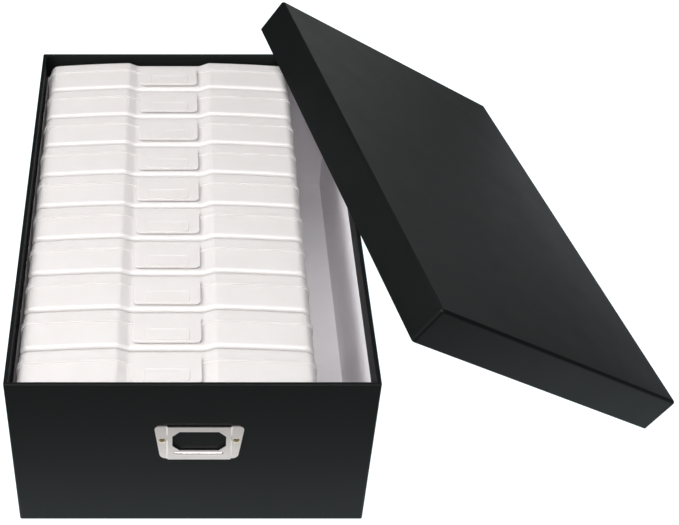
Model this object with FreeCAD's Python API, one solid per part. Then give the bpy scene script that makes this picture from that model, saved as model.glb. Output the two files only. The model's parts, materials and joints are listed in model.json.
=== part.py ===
import FreeCAD, Part

import math
import os

# A paper-covered storage box with a lift-off lid, a metal label holder and a row of photo cases.
# Millimetres. Origin at the centre of the body's underside, +Z up, +Y towards the end that has
# no label holder, +X towards the side where the lid leans.

V = FreeCAD.Vector
AXIS_X = V(1, 0, 0)
AXIS_Y = V(0, 1, 0)
AXIS_Z = V(0, 0, 1)

CUT_MARGIN = 1.0                # cutting tools run this far past what they cut
SAME = 1e-6                     # lengths closer than this are equal

# --- body ---
box_width = 200.0
box_length = 300.0
box_height = 119.0
board = 2.0                     # greyboard, body and lid
cover_paper = 0.2               # black paper, body and lid
lining_paper = 0.2              # white paper inside both
base_paper = 0.2                # sheet that closes the underside
base_paper_margin = 3.0         # from the body's edge to the sheet's edge
body_edge_radius = 1.2
body_turn_in = 18.0             # cover paper folded down inside the rim
turn_under = 15.0               # cover paper folded under the base

# --- corner stays, under the cover paper ---
stay_paper = 0.15
stay_leg = 12.0

# --- label holder, on the front end ---
label_offset = 4.0              # sideways from the middle of the end
label_drop = 33.4               # from the rim to the plate's top edge
plate_top_width = 49.5
plate_bottom_width = 43.0
plate_height = 27.5
plate_sheet = 0.5
plate_corner = 3.0
pocket_depth = 0.8              # room for a card behind the plate
pocket_width = 34.0
pocket_lip = 0.9                # closes the pocket's lower end
window_width = 29.5
window_height = 16.0
window_chamfer = 4.0
window_raise = 2.0              # the window's centre above the plate's centre
rivet_spacing = 40.8
rivet_raise = 1.4               # the rivets above the plate's centre
rivet_shank_radius = 0.9
rivet_hole_clearance = 0.05
rivet_head_radius = 2.1
rivet_head_height = 0.9
clinch_radius = 1.8
clinch_height = 0.4

# --- lid ---
lid_clearance = 1.0             # between the lid's skirts and the body, each side
lid_height = 26.0
lid_edge_radius = 2.0
lid_turn_in = 18.0

# --- the lid's place, leaning on the body's right side ---
lean_yaw = 13.0                 # turned to the left, seen from above
lean_gap = 0.3                  # at the floor, at the rim and under the top panel
lean_overrun = 36.4             # from the body's back right corner to the lid's back skirt

# --- photo cases ---
case_count = 10
case_gap = 0.4                  # between neighbours, and to the end walls
case_seat_gap = 0.2             # under the cases
left_gap = 2.0                  # from the left wall to the cases
hand_gap = 29.6                 # from the cases to the right wall
head_room = 2.6                 # from the cases' crown to the rim
case_wall = 1.1
case_corner = 6.0
case_crown = 3.6                # rise of the upper edge from its ends to its middle
case_lid_depth = 9.5
case_lid_edge_radius = 3.4
case_base_edge_radius = 2.4
rim_lip = 0.7                   # the flanges where the halves meet stand out this far
rim_lip_depth = 1.6
register_lip = 0.8              # wall on the case's lid that locates inside the base
register_depth = 2.0
register_gap = 0.1
recess_width = 54.0
recess_floor_width = 42.0
recess_depth = 3.0
recess_round = 4.0

# --- latch tab, on each case's lid ---
tab_width = 38.0
tab_setback = 3.08              # from the tab's edge to the outside of the case's base
tab_sheet = 1.1
tab_gap = 0.15
tab_hook = 1.2
tab_frame_width = 25.0
tab_frame_depth = 9.0
tab_frame_bar = 1.0
tab_frame_height = 0.4

# --- hinges, on each case's lower edge ---
hinge_from_end = 31.0
hinge_notch_width = 20.0
hinge_notch_depth = 3.2
hinge_pin_radius = 0.9
hinge_pin_height = 1.55
hinge_pin_setback = 3.0         # from the parting plane into the base
hinge_clip_width = 12.0
hinge_clip_reach = 4.2
hinge_clip_floor = 0.1
hinge_clearance = 0.13
hinge_mouth = 1.6               # the clip's opening, narrower than the pin

# --- sizes that follow ---
lid_wall = cover_paper + board + lining_paper
lid_width = box_width + 2 * (lid_clearance + lid_wall)
lid_length = box_length + 2 * (lid_clearance + lid_wall)
body_wall = cover_paper + board + lining_paper
inner_width = box_width - 2 * body_wall
inner_length = box_length - 2 * body_wall
inner_floor = base_paper + body_wall

case_width = inner_width - left_gap - hand_gap
case_thickness = (inner_length - (case_count + 1) * case_gap) / case_count
case_height = box_height - head_room - inner_floor - case_seat_gap
case_centre = -inner_width / 2 + left_gap + case_width / 2
case_bottom = inner_floor + case_seat_gap
recess_height = case_height - recess_depth
tab_reach = case_thickness - case_lid_depth - tab_setback

front_face = -box_length / 2
label_centre_height = box_height - label_drop - plate_height / 2


def block(width, length, bottom, top):
    """A plain block, centred on the Z axis."""
    return Part.makeBox(width, length, top - bottom, V(-width / 2, -length / 2, bottom))


def soft_block(width, length, bottom, top, radius):
    """A block with its upright edges and its lower edges rounded."""
    solid = block(width, length, bottom, top)
    upper = [e for e in solid.Edges if min(v.Z for v in e.Vertexes) > top - SAME]
    rounded = [e for e in solid.Edges if not any(e.isSame(u) for u in upper)]
    return solid.makeFillet(radius, rounded)


def bar(x_low, x_high, y_low, y_high, z_low, z_high):
    return Part.makeBox(x_high - x_low, y_high - y_low, z_high - z_low, V(x_low, y_low, z_low))


def tray(width, length, height, radius, turn_in):
    """The layers of a wrapped tray, its closed side at z = 0 and its mouth up."""
    board_width = width - 2 * cover_paper
    board_length = length - 2 * cover_paper
    cavity_width = board_width - 2 * board
    cavity_length = board_length - 2 * board
    floor = cover_paper + board
    board_top = height - cover_paper
    board_block = soft_block(board_width, board_length, cover_paper, board_top, radius - cover_paper)

    inside = soft_block(
        board_width - 2 * stay_paper, board_length - 2 * stay_paper,
        cover_paper, board_top, radius - cover_paper - stay_paper)
    corners = board_block.cut(inside)
    corners = corners.cut(block(board_width - 2 * stay_leg, 2 * board_length, 0, height))
    corners = corners.cut(block(2 * board_width, board_length - 2 * stay_leg, 0, height))
    corners = corners.cut(block(2 * board_width, 2 * board_length, 0, floor))

    board_tray = board_block.cut(block(cavity_width, cavity_length, floor, height))
    board_tray = board_tray.cut(corners)

    mouth = block(cavity_width - 2 * cover_paper, cavity_length - 2 * cover_paper,
                  height - turn_in - CUT_MARGIN, height + CUT_MARGIN)
    turned_in = block(cavity_width, cavity_length, height - turn_in, height)
    wrap = soft_block(width, length, 0, height, radius).cut(board_block)
    wrap = wrap.fuse(turned_in).cut(mouth).removeSplitter()

    lining = block(cavity_width, cavity_length, floor, height - turn_in)
    lining = lining.cut(block(cavity_width - 2 * lining_paper, cavity_length - 2 * lining_paper,
                              floor + lining_paper, height))
    return {"board": board_tray, "corner_stays": corners, "wrap": wrap, "lining": lining}


def make_body():
    layers = tray(box_width, box_length, box_height - base_paper, body_edge_radius, body_turn_in)
    for layer in layers.values():
        layer.translate(V(0, 0, base_paper))
    under = block(box_width - 2 * turn_under, box_length - 2 * turn_under,
                  0, base_paper + cover_paper)
    layers["wrap"] = layers["wrap"].cut(under)
    sheet = block(box_width - 2 * base_paper_margin, box_length - 2 * base_paper_margin,
                  0, base_paper)
    return layers, sheet


def plate_outline():
    """The label plate's outline seen from the front, as a face in the XZ plane."""
    half_top = plate_top_width / 2
    half_bottom = plate_bottom_width / 2
    half_height = plate_height / 2
    corners = [V(-half_bottom, 0, -half_height), V(half_bottom, 0, -half_height),
               V(half_top, 0, half_height), V(-half_top, 0, half_height)]
    sharp = Part.Face(Part.makePolygon(corners + corners[:1]))
    return sharp.makeOffset2D(-plate_corner).makeOffset2D(plate_corner)


def window_outline():
    half_width = window_width / 2
    half_height = window_height / 2
    cut_x = half_width - window_chamfer
    cut_z = half_height - window_chamfer
    corners = [V(-cut_x, 0, -half_height), V(cut_x, 0, -half_height), V(half_width, 0, -cut_z),
               V(half_width, 0, cut_z), V(cut_x, 0, half_height), V(-cut_x, 0, half_height),
               V(-half_width, 0, cut_z), V(-half_width, 0, -cut_z)]
    return Part.Face(Part.makePolygon(corners + corners[:1]))


def make_label_holder():
    """A pressed plate: two ears flat on the wall, and a raised middle with a card pocket behind."""
    raised = pocket_depth + plate_sheet
    half = pocket_width / 2
    ear = plate_top_width / 2 + CUT_MARGIN
    through = V(0, -raised - 2 * CUT_MARGIN, 0)
    back = [V(-ear, 0, 0), V(-half - pocket_depth, 0, 0), V(-half, -pocket_depth, 0),
            V(half, -pocket_depth, 0), V(half + pocket_depth, 0, 0), V(ear, 0, 0)]
    front = [V(ear, -plate_sheet, 0), V(half + pocket_depth, -plate_sheet, 0), V(half, -raised, 0),
             V(-half, -raised, 0), V(-half - pocket_depth, -plate_sheet, 0),
             V(-ear, -plate_sheet, 0)]
    sheet = Part.Face(Part.makePolygon(back + front + back[:1]))
    sheet.translate(V(0, 0, -plate_height))
    pressed = sheet.extrude(V(0, 0, 2 * plate_height))
    lip = bar(-half, half, -pocket_depth, 0, -plate_height / 2, -plate_height / 2 + pocket_lip)
    outline = plate_outline()
    outline.translate(V(0, CUT_MARGIN, 0))
    holder = pressed.fuse(lip).common(outline.extrude(through))
    window = window_outline()
    window.translate(V(0, CUT_MARGIN, window_raise))
    holder = holder.cut(window.extrude(through))
    holder.translate(V(label_offset, front_face, label_centre_height))
    return holder.removeSplitter()


def rivet_place(side):
    return V(label_offset + side * rivet_spacing / 2, front_face, label_centre_height + rivet_raise)


def make_rivet(side):
    """Domed head on the plate, shank through plate, paper and board, tail clinched in the board."""
    seat = -plate_sheet
    tail = cover_paper + board
    shank = Part.makeCylinder(rivet_shank_radius, tail - seat, V(0, seat, 0), AXIS_Y)
    ball_radius = (rivet_head_radius ** 2 + rivet_head_height ** 2) / (2 * rivet_head_height)
    ball_centre = V(0, seat - rivet_head_height + ball_radius, 0)
    head = Part.makeSphere(ball_radius, ball_centre)
    head = head.common(Part.makeCylinder(rivet_head_radius + CUT_MARGIN,
                                         rivet_head_height + CUT_MARGIN,
                                         V(0, seat - rivet_head_height - CUT_MARGIN, 0), AXIS_Y))
    clinch = Part.makeCylinder(clinch_radius, clinch_height, V(0, tail - clinch_height, 0), AXIS_Y)
    rivet = shank.fuse(head).fuse(clinch).removeSplitter()
    rivet.translate(rivet_place(side))
    return rivet


def rivet_bore(side):
    """What the rivet's shank and tail take out of the wall."""
    tail = cover_paper + board
    clear = rivet_hole_clearance
    start = -plate_sheet - CUT_MARGIN
    bore = Part.makeCylinder(rivet_shank_radius + clear, tail - start, V(0, start, 0), AXIS_Y)
    pocket = Part.makeCylinder(clinch_radius + clear, clinch_height + clear,
                               V(0, tail - clinch_height - clear, 0), AXIS_Y)
    hole = bore.fuse(pocket)
    hole.translate(rivet_place(side))
    return hole


def leaning_place():
    """Right skirt on the floor, left skirt on the rim, top panel over the back right corner."""
    across = lid_width - lid_wall
    tilt = math.asin(box_height / across)
    height = lean_gap + math.sin(tilt) * lid_width / 2 + math.cos(tilt) * lid_height
    drop = lid_wall + lean_gap + math.cos(tilt) * (box_height - height)
    to_corner = V(-drop / math.sin(tilt), lid_length / 2 - lid_wall - lean_overrun, 0)
    turn = FreeCAD.Rotation(AXIS_Z, lean_yaw)
    corner = V(box_width / 2, box_length / 2, height)
    centre = corner - turn.multVec(to_corner)
    lean = turn.multiply(FreeCAD.Rotation(AXIS_Y, math.degrees(tilt)))
    return FreeCAD.Placement(centre, lean)


def make_lid():
    layers = tray(lid_width, lid_length, lid_height, lid_edge_radius, lid_turn_in)
    place = leaning_place()
    for name, layer in layers.items():
        layer.rotate(V(0, 0, 0), AXIS_Y, 180)
        layers[name] = layer.transformed(place.toMatrix())
    return layers


# A case is drawn lying on its back: X along its long side, Y up its height from the hinged edge,
# Z from the outside of its lid at 0 to the outside of its base at case_thickness.

def case_outline():
    """The flange's outline: square sides, an arched upper edge and a recess in its middle."""
    half = case_width / 2
    shoulder = case_height - case_crown
    arch = Part.Arc(V(half, shoulder, 0), V(0, case_height, 0), V(-half, shoulder, 0)).toShape()
    foot = Part.makePolygon([V(-half, shoulder, 0), V(-half, 0, 0), V(half, 0, 0),
                             V(half, shoulder, 0)])
    face = Part.Face(Part.Wire([arch] + foot.Edges))
    slope = (recess_width - recess_floor_width) / 2 / recess_depth
    above = case_height + recess_depth
    top_half = recess_floor_width / 2 + slope * (above - recess_height)
    floor_half = recess_floor_width / 2
    recess = [V(-floor_half, recess_height, 0), V(floor_half, recess_height, 0),
              V(top_half, above, 0), V(-top_half, above, 0)]
    face = face.cut(Part.Face(Part.makePolygon(recess + recess[:1]))).Faces[0]
    face = face.makeOffset2D(recess_round).makeOffset2D(-recess_round)
    return face.makeOffset2D(-case_corner).makeOffset2D(case_corner).Faces[0]


def hinge_places():
    return [-case_width / 2 + hinge_from_end, case_width / 2 - hinge_from_end]


def notched(face):
    """The outline with the hinge notches cut into its lower edge."""
    for x in hinge_places():
        notch = Part.makePlane(hinge_notch_width, hinge_notch_depth + CUT_MARGIN,
                               V(x - hinge_notch_width / 2, -CUT_MARGIN, 0))
        face = face.cut(notch).Faces[0]
    return face


def slab(face, inset, low, high):
    """The outline drawn in by inset, as a solid between two heights."""
    drawn_in = face.makeOffset2D(-inset).Faces[0] if inset > 0 else face.copy()
    drawn_in.translate(V(0, 0, low))
    return drawn_in.extrude(V(0, 0, high - low))


def rounded_end(solid, level, radius):
    """The solid with the edges of its flat end at this height rounded."""
    for face in solid.Faces:
        if face.BoundBox.ZLength < SAME and abs(face.BoundBox.ZMin - level) < SAME:
            return solid.makeFillet(radius, face.Edges)


def case_half(face, outside, parting, edge_radius):
    """One half's shell and its flange; outside is the height of its flat outer face."""
    inward = 1 if parting > outside else -1
    low, high = sorted([outside, parting])
    shell = rounded_end(slab(face, rim_lip, low, high), outside, edge_radius)
    flange = slab(face, 0, *sorted([parting - inward * rim_lip_depth, parting]))
    floor = outside + inward * case_wall
    inner_low, inner_high = sorted([floor, parting])
    hollow = rounded_end(slab(face, rim_lip + case_wall, inner_low, inner_high), floor,
                         edge_radius - case_wall)
    return shell.fuse(flange).cut(hollow)


def make_register(face):
    """The wall inside the case's lid that reaches into the base."""
    root = rim_lip + case_wall
    inner = root + register_gap + register_lip
    low = case_lid_depth - register_depth
    high = case_lid_depth + register_depth
    foot = slab(face, root - register_gap, low, case_lid_depth)
    wall = slab(face, root + register_gap, case_lid_depth, high)
    return foot.fuse(wall).cut(slab(face, inner, low - CUT_MARGIN, high + CUT_MARGIN))


def make_tab():
    """The latch tab over the recess, its hook behind the base's flange and its raised frame."""
    half = tab_width / 2
    under = recess_height + tab_gap
    top = under + tab_sheet
    root = bar(-half, half, recess_height - rim_lip, top,
               case_lid_depth - rim_lip_depth, case_lid_depth)
    sheet = bar(-half, half, under, top, case_lid_depth, case_lid_depth + tab_reach)
    hook_start = case_lid_depth + rim_lip_depth + tab_gap
    hook = bar(-half, half, recess_height - rim_lip + tab_gap, under,
               hook_start, hook_start + tab_hook)
    middle = case_lid_depth + tab_reach - tab_frame_depth / 2 - tab_frame_bar
    outer_half = tab_frame_width / 2
    depth_half = tab_frame_depth / 2
    frame = bar(-outer_half, outer_half, top, top + tab_frame_height,
                middle - depth_half, middle + depth_half)
    frame = frame.cut(bar(-outer_half + tab_frame_bar, outer_half - tab_frame_bar,
                          top, top + tab_frame_height,
                          middle - depth_half + tab_frame_bar, middle + depth_half - tab_frame_bar))
    return root.fuse(sheet).fuse(hook).fuse(frame)


def hinge_axis(x, reach):
    return V(x - reach, hinge_pin_height, case_lid_depth + hinge_pin_setback)


def make_hinge_pin(x):
    """A pin across the notch, moulded into the notch's side walls."""
    reach = hinge_notch_width / 2 + rim_lip + case_wall / 2
    return Part.makeCylinder(hinge_pin_radius, 2 * reach, hinge_axis(x, reach), AXIS_X)


def make_hinge_clip(x):
    """A clip on the lid's flange that snaps over the pin."""
    half = hinge_clip_width / 2
    start = case_lid_depth - rim_lip_depth
    arm_top = hinge_notch_depth - hinge_clearance
    root = bar(x - half, x + half, hinge_clip_floor, hinge_notch_depth + rim_lip,
               start, case_lid_depth)
    end = case_lid_depth + hinge_clip_reach
    arm = bar(x - half, x + half, hinge_clip_floor, arm_top, case_lid_depth, end)
    eye = Part.makeCylinder(hinge_pin_radius + hinge_clearance, hinge_clip_width,
                            hinge_axis(x, half), AXIS_X)
    mouth = bar(x - half, x + half,
                hinge_pin_height - hinge_mouth / 2, hinge_pin_height + hinge_mouth / 2,
                case_lid_depth + hinge_pin_setback, end + CUT_MARGIN)
    return root.fuse(arm).cut(eye).cut(mouth)


def make_case():
    face = notched(case_outline())
    lid = case_half(face, 0, case_lid_depth, case_lid_edge_radius)
    lid = lid.fuse(make_register(face)).fuse(make_tab())
    base = case_half(face, case_thickness, case_lid_depth, case_base_edge_radius)
    for x in hinge_places():
        lid = lid.fuse(make_hinge_clip(x))
        base = base.fuse(make_hinge_pin(x))
    return {"base": base.removeSplitter(), "lid": lid.removeSplitter()}


def stand_case(half, number):
    """Case 1 stands at the front; the lids face the back."""
    lid_face = -inner_length / 2 + number * (case_gap + case_thickness)
    upright = half.copy()
    upright.rotate(V(0, 0, 0), AXIS_X, 90)
    upright.translate(V(case_centre, lid_face, case_bottom))
    return upright


def write(name, shape):
    bad = not shape.isValid() or shape.Volume <= 0
    state = "BAD" if bad else "ok"
    print(f"{name}: {state}, solids {len(shape.Solids)}, volume {shape.Volume:.3f} mm3")
    shape.exportStep(os.path.join("parts", f"{name}.step"))


def main():
    os.makedirs("parts", exist_ok=True)
    body, sheet = make_body()
    for side in (-1, 1):
        bore = rivet_bore(side)
        body["wrap"] = body["wrap"].cut(bore)
        body["board"] = body["board"].cut(bore)
    holder = make_label_holder()
    for side in (-1, 1):
        holder = holder.cut(rivet_bore(side))

    for name, layer in body.items():
        write(f"body_{name}", layer)
    write("base_paper", sheet)
    write("label_holder", holder)
    write("label_rivet_left", make_rivet(-1))
    write("label_rivet_right", make_rivet(1))
    for name, layer in make_lid().items():
        write(f"lid_{name}", layer)
    case = make_case()
    for number in range(1, case_count + 1):
        for name, half in case.items():
            write(f"case_{number:02d}_{name}", stand_case(half, number))


main()
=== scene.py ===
import json
import math

import bmesh
import bpy
from mathutils import Matrix, Vector

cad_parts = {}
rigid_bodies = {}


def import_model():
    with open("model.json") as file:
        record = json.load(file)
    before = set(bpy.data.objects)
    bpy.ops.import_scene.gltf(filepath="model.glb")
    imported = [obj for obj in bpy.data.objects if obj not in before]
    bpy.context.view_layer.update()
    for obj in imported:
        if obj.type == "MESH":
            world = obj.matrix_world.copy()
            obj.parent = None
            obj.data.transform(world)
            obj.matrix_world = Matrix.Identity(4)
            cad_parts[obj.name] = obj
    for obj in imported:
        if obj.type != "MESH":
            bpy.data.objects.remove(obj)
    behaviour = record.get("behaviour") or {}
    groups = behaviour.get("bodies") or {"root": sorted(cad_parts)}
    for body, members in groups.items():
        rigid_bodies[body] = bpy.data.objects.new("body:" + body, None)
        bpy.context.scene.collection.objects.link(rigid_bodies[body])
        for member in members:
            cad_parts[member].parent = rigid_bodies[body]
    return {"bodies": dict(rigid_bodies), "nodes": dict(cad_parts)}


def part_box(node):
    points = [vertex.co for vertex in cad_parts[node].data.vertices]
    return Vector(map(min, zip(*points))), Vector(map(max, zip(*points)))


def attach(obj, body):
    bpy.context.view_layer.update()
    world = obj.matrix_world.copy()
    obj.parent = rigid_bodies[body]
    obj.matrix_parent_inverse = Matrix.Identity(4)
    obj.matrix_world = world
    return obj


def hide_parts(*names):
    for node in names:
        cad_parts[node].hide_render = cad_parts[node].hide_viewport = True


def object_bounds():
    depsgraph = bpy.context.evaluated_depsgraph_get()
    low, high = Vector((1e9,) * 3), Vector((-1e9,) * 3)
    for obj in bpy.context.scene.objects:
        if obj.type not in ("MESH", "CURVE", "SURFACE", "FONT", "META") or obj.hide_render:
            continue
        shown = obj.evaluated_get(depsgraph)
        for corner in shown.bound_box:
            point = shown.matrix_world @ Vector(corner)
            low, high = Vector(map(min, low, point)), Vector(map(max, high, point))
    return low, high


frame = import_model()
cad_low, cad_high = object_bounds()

# A paper-covered photo box: its body, its lid leaning on the right side, a pressed label holder
# on the front end, and ten frosted photo cases standing in a row. Metres throughout.

MM = 0.001
TINY = 0.01 * MM

# --- paper and board ---
COVER_PAPER = 0.2 * MM
BOARD = 2.0 * MM
LINING_PAPER = 0.2 * MM
WALL = COVER_PAPER + BOARD + LINING_PAPER
RIM_RADIUS = 0.5 * MM
TURN_IN = 18 * MM
TURN_UNDER = 15 * MM
BODY_EDGE_RADIUS = 1.2 * MM
LID_EDGE_RADIUS = 2.0 * MM
SEAM_FROM_CORNER = 1.4 * MM
SEAM_WIDTH = 0.05 * MM
SEAM_STEP = 0.1 * MM
LINING_CORNER_RADIUS = 0.6 * MM
LINING_LAP = 9 * MM

# --- the lid's lean ---
LID_CLEARANCE = 1.0 * MM
LID_HEIGHT = 26 * MM
LEAN_YAW = math.radians(13)
LEAN_GAP = 0.3 * MM
LEAN_OVERRUN = 36.4 * MM

# --- label holder ---
PLATE_TOP_WIDTH = 49.5 * MM
PLATE_BOTTOM_WIDTH = 43.0 * MM
PLATE_CORNER = 3.2 * MM
PLATE_SHEET = 0.5 * MM
POCKET_DEPTH = 0.8 * MM
POCKET_WIDTH = 34 * MM
WINDOW_WIDTH = 29.5 * MM
WINDOW_HEIGHT = 16 * MM
WINDOW_CHAMFER = 4 * MM
WINDOW_RAISE = 2 * MM
RIDGE_LENGTH = 27 * MM
RIDGE_RADIUS = 1.1 * MM
RIDGE_DROP = 8.7 * MM
RIDGE_END = 0.9                     # share of the ridge's radius that its ends are rounded by
RIDGE_RISE = 0.55                   # share of the ridge's radius that stands out
PLATE_SOFTENING = 0.14 * MM
WINDOW_TOOL_REACH = 2 * MM
RIVET_HEAD_RADIUS = 2.1 * MM
RIVET_HEAD_HEIGHT = 0.9 * MM
RIVET_SHANK_RADIUS = 0.9 * MM
CLINCH_RADIUS = 1.8 * MM
CLINCH_HEIGHT = 0.4 * MM
RIVET_SOFTENING = 0.08 * MM

# --- photo cases ---
CASE_WALL = 1.1 * MM
CASE_CORNER = 6 * MM
CASE_CROWN = 3.6 * MM
CASE_LID_DEPTH = 9.5 * MM
CASE_LID_EDGE_RADIUS = 3.4 * MM
CASE_BASE_EDGE_RADIUS = 2.4 * MM
FLANGE_LIP = 0.7 * MM
FLANGE_DEPTH = 1.6 * MM
FLANGE_SOFTENING = 0.2 * MM
REGISTER_WALL = 0.8 * MM
REGISTER_DEPTH = 2.0 * MM
REGISTER_GAP = 0.1 * MM
RECESS_HALF = 27 * MM
RECESS_FLOOR_HALF = 21 * MM
RECESS_DEPTH = 3 * MM
RECESS_BLEND = 1.4 * MM
TAB_WIDTH = 38 * MM
TAB_REACH = 16.5 * MM
TAB_SHEET = 1.1 * MM
TAB_GAP = 0.15 * MM
TAB_CORNER = 2.5 * MM
TAB_FRAME_WIDTH = 25 * MM
TAB_FRAME_DEPTH = 9 * MM
TAB_FRAME_BAR = 1.0 * MM
TAB_FRAME_HEIGHT = 0.4 * MM
HINGE_FROM_END = 31 * MM
NOTCH_WIDTH = 20 * MM
NOTCH_DEPTH = 3.2 * MM
NOTCH_DRAFT = 0.25 * MM
PIN_RADIUS = 0.9 * MM
PIN_HEIGHT = 1.55 * MM
PIN_SETBACK = 3.0 * MM
CLIP_WIDTH = 12 * MM
CLIP_SHEET = 0.7 * MM
CLIP_CLEARANCE = 0.13 * MM
ARCH_STEP = 8 * MM
TAB_HOOK = 1.2 * MM
TAB_SOFTENING = 0.18 * MM
TAB_FRAME_SINK = 0.9                # share of the frame's height that its middle lies lower
CLIP_BEND = math.radians(-235)
CLIP_STEPS = 14

# --- shaping ---
FLAT = 0.99                         # a face looks along an axis when its normal is past this
STRAIGHT = 0.999                    # an edge runs along an axis when its direction is past this
ON_FACE = 0.05 * MM
FLAT_FACE_WEIGHT = 80
OVERLAP = 0.1 * MM                  # pieces that are joined run this far into each other

# --- surfaces ---
COARSE_GRAIN = 0.27                 # share of the grain's scale that its second layer has
WEAR_PATCHES = 260.0
WEAR_SPREAD = (-0.6, 1.8)
PAPER_WEAR_AND_HIGHLIGHT = 0.35                   # share of the mask that lightens the cover paper: worn edges and a painted edge highlight
PAPER_POLISH = 0.08                 # how much smoother the cover paper is along its worn edges
METAL_WEAR = 0.5                    # share of the mask that brightens the metal

# --- studio ---
FLOOR_SIZE = 8
FLOOR_GREY = 0.12
FLOOR_TINT = (0.88, 0.97, 1)
FLOOR_GLOW = 1.15
FLOOR_GLOW_REACH = 0.1              # reflections see the glow fade out this far from the object
FLOOR_GLOW_BEYOND = 0.05            # share of the glow that is left there
WORLD_COLOUR = (0.8, 0.82, 0.85)
WORLD_STRENGTH = 0.06
SENSOR_WIDTH = 36
LENS = 73.21
LENS_SHIFT = (0.2383, -0.0479)
CAMERA_PLACE = (-0.0078, -0.6308, 0.6706)
CAMERA_PITCH = math.radians(47.49)


# ---------------------------------------------------------------- modelling helpers

def clear_selection():
    if bpy.context.mode != "OBJECT":
        bpy.ops.object.mode_set(mode="OBJECT")
    bpy.ops.object.select_all(action="DESELECT")


def pick(piece):
    """Makes a piece the only selected one, and the active one."""
    clear_selection()
    piece.select_set(True)
    bpy.context.view_layer.objects.active = piece


def named(name):
    """Names the piece just added and puts its place into its mesh."""
    piece = bpy.context.object
    piece.name = name
    piece.data.name = name
    bpy.ops.object.transform_apply(location=True, rotation=True, scale=True)
    return piece


def block(name, low, high):
    """A box between two corners."""
    clear_selection()
    low, high = Vector(low), Vector(high)
    bpy.ops.mesh.primitive_cube_add(size=1, location=(low + high) / 2, scale=high - low)
    return named(name)


def sheet(name, centre, width, depth, rotation=(0, 0, 0)):
    """A flat rectangle."""
    clear_selection()
    bpy.ops.mesh.primitive_plane_add(size=1, location=centre, rotation=rotation)
    bpy.context.object.scale = (width, depth, 1)
    return named(name)


def rod(name, start, end, radius, sides=24):
    """A round bar between two points on a line along X."""
    clear_selection()
    start, end = Vector(start), Vector(end)
    bpy.ops.mesh.primitive_cylinder_add(
        vertices=sides, radius=radius, depth=(end - start).length,
        location=(start + end) / 2, rotation=(0, math.pi / 2, 0))
    return named(name)


def edit(piece):
    pick(piece)
    bpy.ops.object.mode_set(mode="EDIT")


def done():
    bpy.ops.object.mode_set(mode="OBJECT")


def choose(kind, test):
    """In edit mode, selects the vertices, edges or faces that pass the test, and no others."""
    bpy.ops.mesh.select_mode(type=kind)
    bpy.ops.mesh.select_all(action="DESELECT")
    mesh = bmesh.from_edit_mesh(bpy.context.object.data)
    for part in {"VERT": mesh.verts, "EDGE": mesh.edges, "FACE": mesh.faces}[kind]:
        if test(part):
            part.select_set(True)
    mesh.select_flush_mode()
    bmesh.update_edit_mesh(bpy.context.object.data)


def middle(edge):
    return (edge.verts[0].co + edge.verts[1].co) / 2


def runs_along(edge, axis):
    way = (edge.verts[1].co - edge.verts[0].co).normalized()
    return abs(way[axis]) > STRAIGHT


def near(value, target, margin=TINY):
    return abs(value - target) < margin


def cut(axis, level):
    """Cuts what is selected with a plane across an axis."""
    place, normal = Vector(), Vector()
    place[axis] = level
    normal[axis] = 1
    bpy.ops.mesh.bisect(plane_co=place, plane_no=normal)


def cut_all(axis, levels):
    for level in levels:
        bpy.ops.mesh.select_all(action="SELECT")
        cut(axis, level)


def round_edges(test, radius, steps):
    choose("EDGE", test)
    bpy.ops.mesh.bevel(offset=radius, segments=steps, affect="EDGES", clamp_overlap=False)


def shift(value):
    bpy.ops.transform.translate(value=value)


def modify(piece, kind, **settings):
    """Adds a modifier with these settings and applies it."""
    pick(piece)
    modifier = piece.modifiers.new(kind.title(), kind)
    for name, value in settings.items():
        setattr(modifier, name, value)
    bpy.ops.object.modifier_apply(modifier=modifier.name)


def carve(piece, tool, operation):
    """Takes the tool away from the piece, or adds it, and removes the tool."""
    modify(piece, "BOOLEAN", object=tool, operation=operation, solver="EXACT")
    bpy.data.objects.remove(tool, do_unlink=True)


def join(pieces, name):
    pick(pieces[0])
    for piece in pieces[1:]:
        piece.select_set(True)
    bpy.ops.object.join()
    joined = bpy.context.object
    joined.name = name
    joined.data.name = name
    return joined


def smooth(piece, angle=40):
    """Smooth shading over the rounded edges, with the flat faces kept flat."""
    pick(piece)
    bpy.ops.object.shade_smooth_by_angle(angle=math.radians(angle))
    modify(piece, "WEIGHTED_NORMAL", keep_sharp=True, weight=FLAT_FACE_WEIGHT)


def copy_of(piece, name, move):
    """A copy with its own mesh, moved."""
    twin = piece.copy()
    twin.data = piece.data.copy()
    twin.name = name
    twin.data.name = name
    bpy.context.scene.collection.objects.link(twin)
    twin.data.transform(Matrix.Translation(move))
    return twin


def dress(piece, material, slot, body, *nodes):
    """Gives a finished piece its material, its body and the nodes it stands for. Its slot is not
    used.
    """
    piece.data.materials.clear()
    piece.data.materials.append(material)
    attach(piece, body)
    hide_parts(*nodes)


# ---------------------------------------------------------------- material helpers

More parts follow.
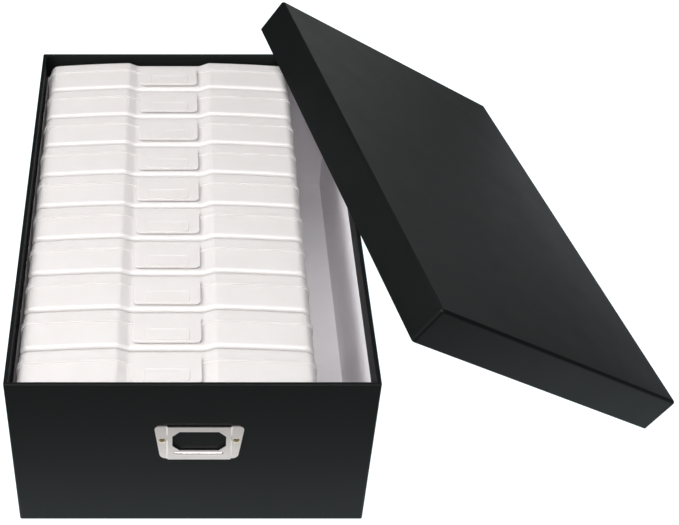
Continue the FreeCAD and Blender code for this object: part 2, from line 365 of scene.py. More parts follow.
class Nodes:
    """A node tree that is filled line by line."""

    def __init__(self, tree):
        self.tree = tree

    def add(self, kind, **settings):
        node = self.tree.nodes.new(kind)
        for name, value in settings.items():
            setattr(node, name, value)
        return node

    def link(self, output, socket):
        self.tree.links.new(output, socket)

    def maths(self, operation, first, second, clamp=False):
        """A Math node; each input is a number or another node's output."""
        node = self.add("ShaderNodeMath", operation=operation, use_clamp=clamp)
        for socket, value in zip(node.inputs, (first, second)):
            if isinstance(value, (int, float)):
                socket.default_value = value
            else:
                self.link(value, socket)
        return node.outputs[0]

    def blend(self, factor, first, second):
        """A colour between two colours."""
        node = self.add("ShaderNodeMix", data_type="RGBA")
        self.link(factor, node.inputs["Factor"])
        for socket, value in ((node.inputs[6], first), (node.inputs[7], second)):
            if isinstance(value, tuple):
                socket.default_value = (*value, 1)
            else:
                self.link(value, socket)
        return node.outputs[2]

    def spread(self, value, low, high):
        """A value between 0 and 1, mapped to a range."""
        node = self.add("ShaderNodeMapRange")
        self.link(value, node.inputs["Value"])
        node.inputs["To Min"].default_value = low
        node.inputs["To Max"].default_value = high
        return node.outputs["Result"]

    def noise(self, vector, scale, detail=3.0, roughness=0.55):
        node = self.add("ShaderNodeTexNoise")
        self.link(vector, node.inputs["Vector"])
        if isinstance(scale, (int, float)):
            node.inputs["Scale"].default_value = scale
        else:
            self.link(scale, node.inputs["Scale"])
        node.inputs["Detail"].default_value = detail
        node.inputs["Roughness"].default_value = roughness
        return node.outputs["Fac"]


def new_group(name, inputs, outputs):
    group = bpy.data.node_groups.new(name, "ShaderNodeTree")
    for label, value in inputs.items():
        socket = group.interface.new_socket(label, in_out="INPUT", socket_type="NodeSocketFloat")
        socket.default_value = value
    for label in outputs:
        group.interface.new_socket(label, in_out="OUTPUT", socket_type="NodeSocketFloat")
    nodes = Nodes(group)
    entry = nodes.add("NodeGroupInput")
    leave = nodes.add("NodeGroupOutput")
    return group, nodes, entry, leave


def make_grain_group():
    """Fine grain for relief, and a broad mottle for colour and gloss."""
    group, nodes, entry, leave = new_group(
        "surface grain", {"Grain Scale": 2500.0, "Mottle Scale": 60.0}, ["Relief", "Mottle"])
    place = nodes.add("ShaderNodeTexCoord").outputs["Object"]
    fine = nodes.noise(place, entry.outputs["Grain Scale"], detail=4)
    coarser = nodes.maths("MULTIPLY", entry.outputs["Grain Scale"], COARSE_GRAIN)
    coarse = nodes.noise(place, coarser, detail=2)
    both = nodes.maths("ADD", fine, coarse)
    nodes.link(nodes.maths("MULTIPLY", both, 0.5), leave.inputs["Relief"])
    mottle = nodes.noise(place, entry.outputs["Mottle Scale"], detail=5, roughness=0.6)
    nodes.link(mottle, leave.inputs["Mottle"])
    return group


def make_wear_and_highlight_group():
    """A mask that is 1 on outer and inner edges, broken up in patches; on the cover paper it marks
    worn edges and a painted edge highlight.
    """
    group, nodes, entry, leave = new_group(
        "edge wear", {"Width": 0.0006, "Strength": 3.0}, ["Mask"])
    bevel = nodes.add("ShaderNodeBevel", samples=4)
    nodes.link(entry.outputs["Width"], bevel.inputs["Radius"])
    surface = nodes.add("ShaderNodeNewGeometry")
    dot = nodes.add("ShaderNodeVectorMath", operation="DOT_PRODUCT")
    nodes.link(bevel.outputs["Normal"], dot.inputs[0])
    nodes.link(surface.outputs["Normal"], dot.inputs[1])
    turned = nodes.maths("SUBTRACT", 1.0, dot.outputs["Value"])
    edge = nodes.maths("MULTIPLY", turned, entry.outputs["Strength"], clamp=True)
    place = nodes.add("ShaderNodeTexCoord").outputs["Object"]
    patches = nodes.noise(place, WEAR_PATCHES, detail=4)
    broken = nodes.spread(patches, *WEAR_SPREAD)
    nodes.link(nodes.maths("MULTIPLY", edge, broken, clamp=True), leave.inputs["Mask"])
    return group


def use_group(nodes, group, **values):
    node = nodes.add("ShaderNodeGroup", node_tree=group)
    for label, value in values.items():
        node.inputs[label.replace("_", " ")].default_value = value
    return node.outputs


def new_material(name):
    material = bpy.data.materials.new(name)
    material.use_nodes = True
    nodes = Nodes(material.node_tree)
    return material, nodes, material.node_tree.nodes["Principled BSDF"]


def relief(nodes, shader, height, strength, distance):
    bump = nodes.add("ShaderNodeBump")
    bump.inputs["Strength"].default_value = strength
    bump.inputs["Distance"].default_value = distance
    nodes.link(height, bump.inputs["Height"])
    nodes.link(bump.outputs["Normal"], shader.inputs["Normal"])


# ---------------------------------------------------------------- materials

def make_cover_paper(grain, wear_and_highlight):
    """Black satin cover paper, lighter and smoother along its edges: worn paper and a painted edge
    highlight.
    """
    material, nodes, shader = new_material("black_cover_paper")
    texture = use_group(nodes, grain, Grain_Scale=1900.0, Mottle_Scale=38.0)
    wear_and_highlight_mask = use_group(nodes, wear_and_highlight, Width=0.9 * MM, Strength=2.2)["Mask"]
    ink = nodes.blend(texture["Mottle"], (0.0030, 0.0036, 0.0036), (0.0048, 0.0056, 0.0057))
    # edges are lightened towards this grey: partly worn paper, partly a painted highlight where the
    # rims catch light
    colour = nodes.blend(nodes.maths("MULTIPLY", wear_and_highlight_mask, PAPER_WEAR_AND_HIGHLIGHT), ink, (0.03, 0.032, 0.034))
    nodes.link(colour, shader.inputs["Base Color"])
    satin = nodes.spread(texture["Mottle"], 0.40, 0.54)
    nodes.link(nodes.maths("SUBTRACT", satin, nodes.maths("MULTIPLY", wear_and_highlight_mask, PAPER_POLISH)),
               shader.inputs["Roughness"])
    shader.inputs["Specular IOR Level"].default_value = 0.12
    relief(nodes, shader, texture["Relief"], 0.35, 0.06 * MM)
    return material


def make_lining_paper(grain):
    """White uncoated lining paper."""
    material, nodes, shader = new_material("white_lining_paper")
    texture = use_group(nodes, grain, Grain_Scale=2600.0, Mottle_Scale=55.0)
    colour = nodes.blend(texture["Mottle"], (0.86, 0.835, 0.865), (0.93, 0.90, 0.93))
    nodes.link(colour, shader.inputs["Base Color"])
    nodes.link(nodes.spread(texture["Relief"], 0.55, 0.8), shader.inputs["Roughness"])
    relief(nodes, shader, texture["Relief"], 0.3, 0.05 * MM)
    return material


def make_board(grain):
    """Grey pulp board, with darker and lighter fibres."""
    material, nodes, shader = new_material("greyboard")
    texture = use_group(nodes, grain, Grain_Scale=1400.0, Mottle_Scale=240.0)
    pulp = nodes.blend(texture["Mottle"], (0.20, 0.185, 0.165), (0.36, 0.34, 0.31))
    colour = nodes.blend(texture["Relief"], pulp, (0.28, 0.26, 0.235))
    nodes.link(colour, shader.inputs["Base Color"])
    shader.inputs["Roughness"].default_value = 0.88
    relief(nodes, shader, texture["Relief"], 0.6, 0.12 * MM)
    return material


def make_stay_paper(grain):
    """Brown kraft paper of the corner stays."""
    material, nodes, shader = new_material("kraft_stay_paper")
    texture = use_group(nodes, grain, Grain_Scale=2200.0, Mottle_Scale=160.0)
    colour = nodes.blend(texture["Mottle"], (0.33, 0.22, 0.12), (0.44, 0.31, 0.18))
    nodes.link(colour, shader.inputs["Base Color"])
    nodes.link(nodes.spread(texture["Relief"], 0.65, 0.85), shader.inputs["Roughness"])
    relief(nodes, shader, texture["Relief"], 0.3, 0.04 * MM)
    return material


def make_metal(name, grain, wear_and_highlight, colour, tarnish, low_gloss, high_gloss):
    """Plated sheet metal with fine tumbling marks and duller patches."""
    material, nodes, shader = new_material(name)
    texture = use_group(nodes, grain, Grain_Scale=3200.0, Mottle_Scale=170.0)
    bright = use_group(nodes, wear_and_highlight, Width=0.25 * MM, Strength=3.0)["Mask"]
    plated = nodes.blend(texture["Mottle"], colour, tarnish)
    nodes.link(nodes.blend(nodes.maths("MULTIPLY", bright, METAL_WEAR), plated, (0.95, 0.93, 0.91)),
               shader.inputs["Base Color"])
    shader.inputs["Metallic"].default_value = 1.0
    nodes.link(nodes.spread(texture["Mottle"], low_gloss, high_gloss), shader.inputs["Roughness"])
    relief(nodes, shader, texture["Relief"], 0.12, 0.02 * MM)
    return material


def make_case_plastic(grain):
    """Frosted polypropylene: milky, with a soft mould texture."""
    material, nodes, shader = new_material("frosted_polypropylene")
    texture = use_group(nodes, grain, Grain_Scale=1500.0, Mottle_Scale=45.0)
    colour = nodes.blend(texture["Mottle"], (0.575, 0.55, 0.542), (0.62, 0.595, 0.588))
    nodes.link(colour, shader.inputs["Base Color"])
    nodes.link(nodes.spread(texture["Relief"], 0.24, 0.4), shader.inputs["Roughness"])
    shader.inputs["Transmission Weight"].default_value = 0.08
    shader.inputs["IOR"].default_value = 1.49
    shader.inputs["Subsurface Weight"].default_value = 0.5
    shader.inputs["Subsurface Radius"].default_value = (1, 0.95, 0.93)
    shader.inputs["Subsurface Scale"].default_value = 3 * MM
    relief(nodes, shader, texture["Relief"], 0.12, 0.05 * MM)
    return material


# ---------------------------------------------------------------- wrapped board pieces

def seam(axis, side, level, low, high, step):
    """Raises the part of a flat face between two lines by one paper's thickness.

    axis and level place the face, side is the way it looks, and low and high are the lines.
    """
    across = 1 - axis

    def on_face(face):
        looks = face.normal[axis] * side > FLAT
        return looks and near(face.calc_center_median()[axis], level, ON_FACE)

    for line in (low - SEAM_WIDTH, low, high, high + SEAM_WIDTH):
        choose("FACE", on_face)
        cut(across, line)
    choose("VERT", lambda v: near(v.co[axis], level) and low - TINY < v.co[across] < high + TINY)
    way = Vector()
    way[axis] = step * side
    shift(way)


def cover_tray(name, width, length, height, radius):
    """Cover paper of a tray with its mouth up: outside, over the rim and down the inside."""
    half = Vector((width / 2, length / 2, 0))
    piece = block(name, -half, half + Vector((0, 0, height)))
    edit(piece)
    choose("FACE", lambda f: f.normal.z > FLAT)
    bpy.ops.mesh.inset(thickness=WALL)
    bpy.ops.mesh.extrude_region_move(TRANSFORM_OT_translate={"value": (0, 0, -TURN_IN)})
    bpy.ops.mesh.delete(type="FACE")

    def outside(edge):
        place = middle(edge)
        upright = runs_along(edge, 2) and near(abs(place.x), half.x) and near(abs(place.y), half.y)
        return upright or near(place.z, 0)

    round_edges(outside, radius, 5)

    def rim(edge):
        return near(middle(edge).z, height) and len({round(f.normal.z) for f in edge.link_faces}) == 2

    round_edges(rim, RIM_RADIUS, 3)
    for side in (-1, 1):
        edge = half.x - SEAM_FROM_CORNER
        seam(1, side, side * half.y, -edge, edge, SEAM_STEP)
    done()
    return piece


def lining_tray(name, width, length, floor, top):
    """Lining paper inside a tray: four walls and the floor, seen from inside."""
    half = Vector((width / 2, length / 2, 0))
    piece = block(name, -half + Vector((0, 0, floor)), half + Vector((0, 0, top)))
    edit(piece)
    choose("FACE", lambda f: f.normal.z > FLAT)
    bpy.ops.mesh.delete(type="FACE")
    bpy.ops.mesh.select_all(action="SELECT")
    bpy.ops.mesh.flip_normals()
    round_edges(lambda e: not e.is_boundary, LINING_CORNER_RADIUS, 2)
    for side in (-1, 1):
        lap = half.y - LINING_LAP
        seam(0, -side, side * half.x, -lap, lap, SEAM_STEP)
    done()
    modify(piece, "SOLIDIFY", thickness=LINING_PAPER, offset=-1, use_even_offset=True)
    return piece


def make_body_cover(material):
    low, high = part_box("body_wrap")
    piece = cover_tray("body_cover", high.x - low.x, high.y - low.y, high.z - low.z,
                       BODY_EDGE_RADIUS)
    edit(piece)
    choose("FACE", lambda f: f.normal.z < -FLAT and near(f.calc_center_median().z, 0))
    bpy.ops.mesh.inset(thickness=TURN_UNDER - BODY_EDGE_RADIUS)
    bpy.ops.mesh.delete(type="FACE")
    bpy.ops.mesh.select_all(action="SELECT")
    shift((0, 0, low.z))
    done()
    modify(piece, "SOLIDIFY", thickness=COVER_PAPER, offset=-1, use_even_offset=True)
    smooth(piece)
    dress(piece, material, "black_paper", "body", "body_wrap")


def make_body_lining(material):
    low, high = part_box("body_lining")
    inset = 2 * LINING_PAPER
    piece = lining_tray("body_lining_sheet", high.x - low.x - inset, high.y - low.y - inset,
                        low.z + LINING_PAPER, high.z)
    smooth(piece)
    dress(piece, material, "white_lining", "body", "body_lining")


def lid_size():
    low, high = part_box("body_wrap")
    more = 2 * (LID_CLEARANCE + WALL)
    return high.x - low.x + more, high.y - low.y + more


def leaning_place():
    """Right skirt on the floor, left skirt on the rim, top panel over the back right corner."""
    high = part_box("body_wrap")[1]
    width, length = lid_size()
    rim = high.z
    tilt = math.asin(rim / (width - WALL))
    height = LEAN_GAP + math.sin(tilt) * width / 2 + math.cos(tilt) * LID_HEIGHT
    drop = WALL + LEAN_GAP + math.cos(tilt) * (rim - height)
    to_corner = Vector((-drop / math.sin(tilt), length / 2 - WALL - LEAN_OVERRUN, 0))
    turn = Matrix.Rotation(LEAN_YAW, 4, "Z")
    centre = Vector((high.x, high.y, height)) - turn @ to_corner
    return Matrix.Translation(centre) @ turn @ Matrix.Rotation(tilt, 4, "Y")


def lean(piece):
    """Turns a lid piece mouth down and puts it where the lid leans."""
    pick(piece)
    piece.matrix_world = leaning_place() @ Matrix.Rotation(math.pi, 4, "Y")
    bpy.ops.object.transform_apply(location=True, rotation=True, scale=True)


def make_lid_cover(material):
    width, length = lid_size()
    piece = cover_tray("lid_cover", width, length, LID_HEIGHT, LID_EDGE_RADIUS)
    modify(piece, "SOLIDIFY", thickness=COVER_PAPER, offset=-1, use_even_offset=True)
    lean(piece)
    smooth(piece)
    dress(piece, material, "black_paper", "lid", "lid_wrap")


def make_lid_lining(material):
    width, length = lid_size()
    piece = lining_tray("lid_lining_sheet", width - 2 * WALL, length - 2 * WALL,
                        WALL, LID_HEIGHT - TURN_IN)
    lean(piece)
    smooth(piece)
    dress(piece, material, "white_lining", "lid", "lid_lining")


# ---------------------------------------------------------------- label holder

def make_label_plate(material):
    """A pressed plate: two ears flat on the wall, a raised middle, a window and a ridge."""
    low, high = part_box("label_holder")
    centre = Vector(((low.x + high.x) / 2, high.y, (low.z + high.z) / 2))
    plate = sheet("label_plate", centre, PLATE_TOP_WIDTH, high.z - low.z, (math.pi / 2, 0, 0))
    edit(plate)
    choose("VERT", lambda v: v.co.z < centre.z)
    bpy.ops.transform.resize(value=(PLATE_BOTTOM_WIDTH / PLATE_TOP_WIDTH, 1, 1),
                             center_override=centre)
    choose("VERT", lambda v: True)
    bpy.ops.mesh.bevel(offset=PLATE_CORNER, segments=6, affect="VERTICES")
    half = POCKET_WIDTH / 2
    bends = (-half - POCKET_DEPTH, -half, half, half + POCKET_DEPTH)
    cut_all(0, [centre.x + bend for bend in bends])
    choose("VERT", lambda v: abs(v.co.x - centre.x) < half + TINY)
    shift((0, -POCKET_DEPTH, 0))
    done()
    modify(plate, "SOLIDIFY", thickness=PLATE_SHEET, offset=1, use_even_offset=True)

    raised = centre.y - POCKET_DEPTH - PLATE_SHEET
    ridge_centre = Vector((centre.x, raised, centre.z - RIDGE_DROP))
    reach = Vector((RIDGE_LENGTH / 2, 0, 0))
    ridge = rod("ridge", ridge_centre - reach, ridge_centre + reach, RIDGE_RADIUS)
    edit(ridge)
    round_edges(lambda e: not runs_along(e, 0), RIDGE_RADIUS * RIDGE_END, 4)
    bpy.ops.mesh.select_all(action="SELECT")
    bpy.ops.transform.resize(value=(1, RIDGE_RISE, 1), center_override=ridge_centre)
    done()
    carve(plate, ridge, "UNION")

    opening = Vector((WINDOW_WIDTH / 2, WINDOW_TOOL_REACH, WINDOW_HEIGHT / 2))
    window_centre = centre + Vector((0, 0, WINDOW_RAISE))
    window = block("window", window_centre - opening, window_centre + opening)
    edit(window)
    round_edges(lambda e: runs_along(e, 1), WINDOW_CHAMFER, 1)
    done()
    carve(plate, window, "DIFFERENCE")
    modify(plate, "BEVEL", width=PLATE_SOFTENING, segments=3, limit_method="ANGLE",
           angle_limit=math.radians(50))
    smooth(plate, 30)
    dress(plate, material, "holder_metal", "body", "label_holder")


def make_rivet(side, material):
    """A domed brad: its head on the plate, its shank in the wall and its tail clinched over."""
    node = f"label_rivet_{side}"
    low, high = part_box(node)
    centre = (low + high) / 2
    seat = low.y + RIVET_HEAD_HEIGHT
    ball = (RIVET_HEAD_RADIUS ** 2 + RIVET_HEAD_HEIGHT ** 2) / (2 * RIVET_HEAD_HEIGHT)
    clear_selection()
    bpy.ops.mesh.primitive_uv_sphere_add(
        segments=32, ring_count=24, radius=ball, location=(centre.x, low.y + ball, centre.z),
        rotation=(math.pi / 2, 0, 0))
    rivet = named(f"label_brad_{side}")
    edit(rivet)
    bpy.ops.mesh.select_all(action="SELECT")
    bpy.ops.mesh.bisect(plane_co=(0, seat - OVERLAP, 0), plane_no=(0, 1, 0), use_fill=True,
                        clear_outer=True)
    axis = Vector((centre.x, seat, centre.z))
    spread = CLINCH_RADIUS / RIVET_SHANK_RADIUS
    tail = high.y - CLINCH_HEIGHT - seat
    choose("FACE", lambda f: f.normal.y > FLAT)
    bpy.ops.mesh.extrude_region_move(TRANSFORM_OT_translate={"value": (0, OVERLAP, 0)})
    bpy.ops.mesh.inset(thickness=RIVET_HEAD_RADIUS - RIVET_SHANK_RADIUS)
    bpy.ops.mesh.extrude_region_move(TRANSFORM_OT_translate={"value": (0, tail, 0)})
    bpy.ops.mesh.extrude_region()
    bpy.ops.transform.resize(value=(spread, 1, spread), center_override=axis)
    bpy.ops.mesh.extrude_region_move(TRANSFORM_OT_translate={"value": (0, CLINCH_HEIGHT, 0)})
    done()
    modify(rivet, "BEVEL", width=RIVET_SOFTENING, segments=2, limit_method="ANGLE",
           angle_limit=math.radians(50))
    smooth(rivet)
    dress(rivet, material, "rivet_metal", "body", node)


# ---------------------------------------------------------------- photo cases

class CaseSizes:
    """Case 1's faces and edges, from the frame."""

    def __init__(self):
        lid_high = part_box("case_01_lid")[1]
        base_low, base_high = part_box("case_01_base")
        self.centre = (base_low.x + base_high.x) / 2
        self.half = (base_high.x - base_low.x) / 2
        self.bottom = base_low.z
        self.crown = base_high.z
        self.lid_face = lid_high.y
        self.base_face = base_low.y
        self.parting = self.lid_face - CASE_LID_DEPTH
        self.recess_floor = self.crown - RECESS_DEPTH
        self.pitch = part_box("case_02_lid")[1].y - lid_high.y
        self.hinges = [self.centre + s * (self.half - HINGE_FROM_END) for s in (-1, 1)]


def case_block(name, case, inset, y_low, y_high):
    """A block with a case's outline: arched top with a recess, round corners, hinge notches."""
    half = case.half - inset
    top = case.crown - inset
    bottom = case.bottom + inset
    piece = block(name, (case.centre - half, y_low, bottom), (case.centre + half, y_high, top))

    def drop(x):
        """How far the upper edge lies under the crown."""
        if x < RECESS_FLOOR_HALF + TINY:
            return RECESS_DEPTH
        return CASE_CROWN * (x / case.half) ** 2

    notch_edge = NOTCH_WIDTH / 2 + inset
    hinge = case.half - HINGE_FROM_END
    notches = [hinge + side * (notch_edge + draft)
               for side in (-1, 1) for draft in (-NOTCH_DRAFT, NOTCH_DRAFT)]
    steps = range(1, int((half - RECESS_HALF) / ARCH_STEP) + 1)
    arch = [RECESS_HALF + step * ARCH_STEP for step in steps]
    columns = sorted([RECESS_FLOOR_HALF, RECESS_HALF] + notches + arch)
    edit(piece)
    cut_all(0, [case.centre + side * x for x in columns for side in (-1, 1)])
    for x in columns + [half]:
        choose("VERT", lambda v: near(abs(v.co.x - case.centre), x) and near(v.co.z, top))
        shift((0, 0, -drop(x)))

    inner = notch_edge - NOTCH_DRAFT / 2

    def in_notch(vert):
        return near(vert.co.z, bottom) and abs(abs(vert.co.x - case.centre) - hinge) < inner

    choose("VERT", in_notch)
    shift((0, 0, NOTCH_DEPTH))

    def at(edge, x, upper):
        place = middle(edge)
        level = place.z > (top + bottom) / 2
        return runs_along(edge, 1) and near(abs(place.x - case.centre), x) and level == upper

    round_edges(lambda e: at(e, RECESS_FLOOR_HALF, True) or at(e, RECESS_HALF, True),
                RECESS_BLEND, 4)
    round_edges(lambda e: at(e, half, True) or at(e, half, False), CASE_CORNER - inset, 7)
    for side in (-1, 1):
        choose("FACE", lambda f: f.normal.y * side > FLAT)
        bpy.ops.mesh.dissolve_faces()
    done()
    return piece


def case_shell(name, case, face, edge_radius):
    """One half's shell, from its flat outer face to the parting plane, with its flange."""
    inward = 1 if case.parting > face else -1
    y_low, y_high = sorted([face, case.parting])
    piece = case_block(name, case, FLANGE_LIP, y_low, y_high)
    edit(piece)

    def outer_rim(edge):
        flat = [abs(f.normal.y) > FLAT for f in edge.link_faces]
        return near(middle(edge).y, face) and any(flat) and not all(flat)

    round_edges(outer_rim, edge_radius, 5)
    step = case.parting - inward * FLANGE_DEPTH
    cut_all(1, [step])
    choose("FACE", lambda f: near(f.calc_center_median().y, case.parting))
    bpy.ops.mesh.delete(type="FACE")
    done()
    outside = len(piece.data.polygons)
    modify(piece, "SOLIDIFY", thickness=CASE_WALL, offset=-1, use_even_offset=True)
    edit(piece)
    flange_low, flange_high = sorted([step, case.parting])
    choose("FACE", lambda f: f.index < outside
           and flange_low < f.calc_center_median().y < flange_high)
    bpy.ops.mesh.extrude_region()
    bpy.ops.transform.shrink_fatten(value=FLANGE_LIP, use_even_offset=True)
    done()
    modify(piece, "BEVEL", width=FLANGE_SOFTENING, segments=2, limit_method="ANGLE",
           angle_limit=math.radians(60))
    return piece


def case_register(case):
    """The wall inside the lid's shell that reaches into the base's."""
    inset = FLANGE_LIP + CASE_WALL + REGISTER_GAP
    ring = case_block("register", case, inset, case.parting - REGISTER_DEPTH,
                      case.parting + REGISTER_DEPTH)
    edit(ring)
    choose("FACE", lambda f: abs(f.normal.y) > FLAT)
    bpy.ops.mesh.delete(type="FACE")
    done()
    modify(ring, "SOLIDIFY", thickness=REGISTER_WALL, offset=-1, use_even_offset=True)
    return ring


def case_tab(case):
    """The latch tab over the recess, with its hook and its raised frame."""
    half = TAB_WIDTH / 2
    under = case.recess_floor + TAB_GAP
    top = under + TAB_SHEET
    back = case.parting + FLANGE_DEPTH
    front = case.parting - TAB_REACH
    tab = block("tab", (case.centre - half, front, under), (case.centre + half, back, top))
    edit(tab)

    def front_corner(edge):
        return runs_along(edge, 2) and near(middle(edge).y, front)

    round_edges(front_corner, TAB_CORNER, 5)
    middle_y = front + TAB_FRAME_BAR + TAB_FRAME_DEPTH / 2
    done()
    frame_half = Vector((TAB_FRAME_WIDTH / 2, TAB_FRAME_DEPTH / 2, 0))
    frame_low = Vector((case.centre, middle_y, top - OVERLAP)) - frame_half
    frame_high = Vector((case.centre, middle_y, top + TAB_FRAME_HEIGHT)) + frame_half
    ridge = block("tab_frame", frame_low, frame_high)
    edit(ridge)
    round_edges(lambda e: runs_along(e, 2), TAB_CORNER, 5)
    choose("FACE", lambda f: f.normal.z > FLAT)
    bpy.ops.mesh.inset(thickness=TAB_FRAME_BAR)
    shift((0, 0, -TAB_FRAME_HEIGHT * TAB_FRAME_SINK))
    done()
    carve(tab, ridge, "UNION")
    root = block("tab_root", (case.centre - half, case.parting, case.recess_floor - FLANGE_LIP),
                 (case.centre + half, back, under + TINY))
    hook_back = case.parting - FLANGE_DEPTH - TAB_GAP
    hook = block("tab_hook", (case.centre - half, hook_back - TAB_HOOK,
                              case.recess_floor - FLANGE_LIP + TAB_GAP),
                 (case.centre + half, hook_back, under + TINY))
    joined = join([tab, root, hook], "latch_tab")
    modify(joined, "BEVEL", width=TAB_SOFTENING, segments=2, limit_method="ANGLE",
           angle_limit=math.radians(50))
    return joined


def hinge_pin(case, x):
    reach = NOTCH_WIDTH / 2 + FLANGE_LIP + CASE_WALL / 2
    place = Vector((x, case.parting - PIN_SETBACK, case.bottom + PIN_HEIGHT))
    return rod("hinge_pin", place - Vector((reach, 0, 0)), place + Vector((reach, 0, 0)),
               PIN_RADIUS)


def hinge_clip(case, x):
    """A strip bent round the hinge pin, and the arm that holds it to the lid's flange."""
    radius = PIN_RADIUS + CLIP_CLEARANCE
    pin = Vector((x, case.parting - PIN_SETBACK, case.bottom + PIN_HEIGHT))
    half = CLIP_WIDTH / 2
    clip = sheet("hinge_clip", pin + Vector((0, 0, radius)), CLIP_WIDTH, CLIP_SHEET)
    edit(clip)
    bpy.ops.mesh.select_all(action="SELECT")
    bpy.ops.mesh.delete(type="ONLY_FACE")
    choose("VERT", lambda v: v.co.y < pin.y)
    bpy.ops.mesh.delete(type="VERT")
    bpy.ops.mesh.select_all(action="SELECT")
    shift((0, -CLIP_SHEET / 2, 0))
    bpy.ops.mesh.spin(steps=CLIP_STEPS, angle=CLIP_BEND, center=pin, axis=(1, 0, 0))
    bpy.ops.mesh.select_all(action="SELECT")
    bpy.ops.mesh.remove_doubles(threshold=TINY)
    bpy.ops.mesh.select_all(action="SELECT")
    bpy.ops.mesh.normals_make_consistent(inside=False)
    done()
    modify(clip, "SOLIDIFY", thickness=CLIP_SHEET, offset=1, use_even_offset=True)
    arm = block("clip_arm", (x - half, pin.y, pin.z + radius),
                (x + half, case.parting + FLANGE_DEPTH, pin.z + radius + CLIP_SHEET))
    return [clip, arm]


def make_cases(material):
    case = CaseSizes()
    lid_pieces = [case_shell("case_lid_shell", case, case.lid_face, CASE_LID_EDGE_RADIUS),
                  case_register(case), case_tab(case)]
    base_pieces = [case_shell("case_base_shell", case, case.base_face, CASE_BASE_EDGE_RADIUS)]
    for x in case.hinges:
        lid_pieces += hinge_clip(case, x)
        base_pieces.append(hinge_pin(case, x))
    halves = {"lid": join(lid_pieces, "case_lid"), "base": join(base_pieces, "case_base")}
    bodies = sorted(body for body in frame["bodies"] if body.startswith("case_"))
    for half, first in halves.items():
        smooth(first)
        for number, body in enumerate(bodies):
            piece = copy_of(first, f"{body}_{half}_shell", Vector((0, number * case.pitch, 0)))
            dress(piece, material, "case_plastic", body, f"{body}_{half}")
        bpy.data.objects.remove(first, do_unlink=True)


# ---------------------------------------------------------------- stage, lights and camera

def distance_outside(nodes, place, centre, reach):
    """How far a place lies outside a rectangle on the floor."""
    across = nodes.add("ShaderNodeVectorMath", operation="SUBTRACT")
    nodes.link(place, across.inputs[0])
    across.inputs[1].default_value = (centre.x, centre.y, 0)
    size = nodes.add("ShaderNodeVectorMath", operation="ABSOLUTE")
    nodes.link(across.outputs["Vector"], size.inputs[0])
    beyond = nodes.add("ShaderNodeVectorMath", operation="SUBTRACT")
    nodes.link(size.outputs["Vector"], beyond.inputs[0])
    beyond.inputs[1].default_value = (reach.x, reach.y, 0)
    outside = nodes.add("ShaderNodeVectorMath", operation="MAXIMUM")
    nodes.link(beyond.outputs["Vector"], outside.inputs[0])
    outside.inputs[1].default_value = (0, 0, 0)
    away = nodes.add("ShaderNodeVectorMath", operation="LENGTH")
    nodes.link(outside.outputs["Vector"], away.inputs[0])
    return away.outputs["Value"]


def make_floor():
    """A pale floor that glows; in reflections the glow fades away from the object."""
    clear_selection()
    bpy.ops.mesh.primitive_plane_add(size=FLOOR_SIZE)
    floor = named("floor")
    material, nodes, shader = new_material("pale_floor")
    shader.inputs["Base Color"].default_value = (FLOOR_GREY, FLOOR_GREY, FLOOR_GREY, 1)
    shader.inputs["Roughness"].default_value = 0.9
    shader.inputs["Specular IOR Level"].default_value = 0.0
    place = nodes.add("ShaderNodeTexCoord").outputs["Object"]
    away = distance_outside(nodes, place, (cad_low + cad_high) / 2, (cad_high - cad_low) / 2)
    fade = nodes.add("ShaderNodeMapRange", interpolation_type="SMOOTHSTEP")
    nodes.link(away, fade.inputs["Value"])
    fade.inputs["From Min"].default_value = 0
    fade.inputs["From Max"].default_value = FLOOR_GLOW_REACH
    fade.inputs["To Min"].default_value = FLOOR_GLOW
    fade.inputs["To Max"].default_value = FLOOR_GLOW * FLOOR_GLOW_BEYOND
    seen = nodes.add("ShaderNodeLightPath").outputs["Is Camera Ray"]
    strength = nodes.add("ShaderNodeMix", data_type="FLOAT")
    nodes.link(seen, strength.inputs[0])
    nodes.link(fade.outputs["Result"], strength.inputs[2])
    strength.inputs[3].default_value = FLOOR_GLOW
    nodes.link(strength.outputs[0], shader.inputs["Emission Strength"])
    shader.inputs["Emission Color"].default_value = (*FLOOR_TINT, 1)
    floor.data.materials.append(material)


def area_light(name, place, target, width, height, power):
    """A soft light in metres and watts, which doesn't show itself."""
    data = bpy.data.lights.new(name, "AREA")
    data.shape = "RECTANGLE"
    data.size = width
    data.size_y = height
    data.energy = power
    light = bpy.data.objects.new(name, data)
    bpy.context.scene.collection.objects.link(light)
    light.location = place
    light.visible_camera = False
    way = Vector(target) - Vector(place)
    light.rotation_euler = way.to_track_quat("-Z", "Y").to_euler()


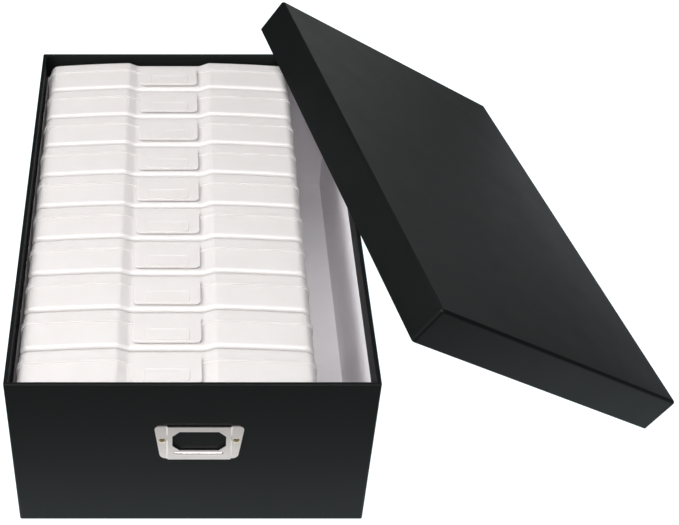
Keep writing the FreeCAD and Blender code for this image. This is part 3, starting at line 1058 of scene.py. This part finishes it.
def make_lights():
    area_light("softbox_overhead", place=(-0.35, -0.15, 1.6), target=(0, 0, 0),
               width=1.5, height=1.5, power=17)
    area_light("softbox_front", place=(0.15, -1.1, 1.35), target=(0.05, 0, 0.05),
               width=0.9, height=0.6, power=21)
    area_light("softbox_left", place=(-1.1, -0.5, 1.1), target=(0.05, 0, 0.05),
               width=0.8, height=0.8, power=21)
    area_light("softbox_back", place=(0.95, 0.95, 0.5), target=(0.15, 0.15, 0.15),
               width=0.5, height=0.4, power=2)
    area_light("softbox_low", place=(0.5, 1.2, 0.17), target=(0.1, 0.15, 0.12),
               width=0.5, height=0.3, power=0.7)
    world = bpy.data.worlds.new("studio")
    bpy.context.scene.world = world
    world.use_nodes = True
    background = world.node_tree.nodes["Background"]
    background.inputs["Color"].default_value = (*WORLD_COLOUR, 1)
    background.inputs["Strength"].default_value = WORLD_STRENGTH


def make_camera():
    data = bpy.data.cameras.new("camera")
    data.sensor_width = SENSOR_WIDTH
    data.lens = LENS
    data.shift_x, data.shift_y = LENS_SHIFT
    camera = bpy.data.objects.new("camera", data)
    bpy.context.scene.collection.objects.link(camera)
    camera.location = CAMERA_PLACE
    camera.rotation_euler = (CAMERA_PITCH, 0, 0)
    bpy.context.scene.camera = camera


def repaint(material, *nodes):
    """Gives CAD nodes that stay in view a finished material."""
    for name in nodes:
        for place in frame["nodes"][name].material_slots:
            place.material = material


# ---------------------------------------------------------------- the object

grain = make_grain_group()
wear_and_highlight = make_wear_and_highlight_group()
cover_paper = make_cover_paper(grain, wear_and_highlight)
lining_paper = make_lining_paper(grain)
greyboard = make_board(grain)
stay_paper = make_stay_paper(grain)
nickel = make_metal("nickel_plate", grain, wear_and_highlight, (0.92, 0.83, 0.795), (0.83, 0.75, 0.715),
                    0.24, 0.4)
brass = make_metal("brass_brad", grain, wear_and_highlight, (0.84, 0.74, 0.52), (0.66, 0.55, 0.34), 0.16, 0.3)
case_plastic = make_case_plastic(grain)

make_camera()
make_lights()
make_floor()

make_body_cover(cover_paper)
make_body_lining(lining_paper)
make_lid_cover(cover_paper)
make_lid_lining(lining_paper)
make_label_plate(nickel)
make_rivet("left", brass)
make_rivet("right", brass)
make_cases(case_plastic)
repaint(greyboard, "body_board", "lid_board")
repaint(stay_paper, "body_corner_stays", "lid_corner_stays")
repaint(cover_paper, "base_paper")

bpy.context.scene.view_settings.view_transform = "Standard"
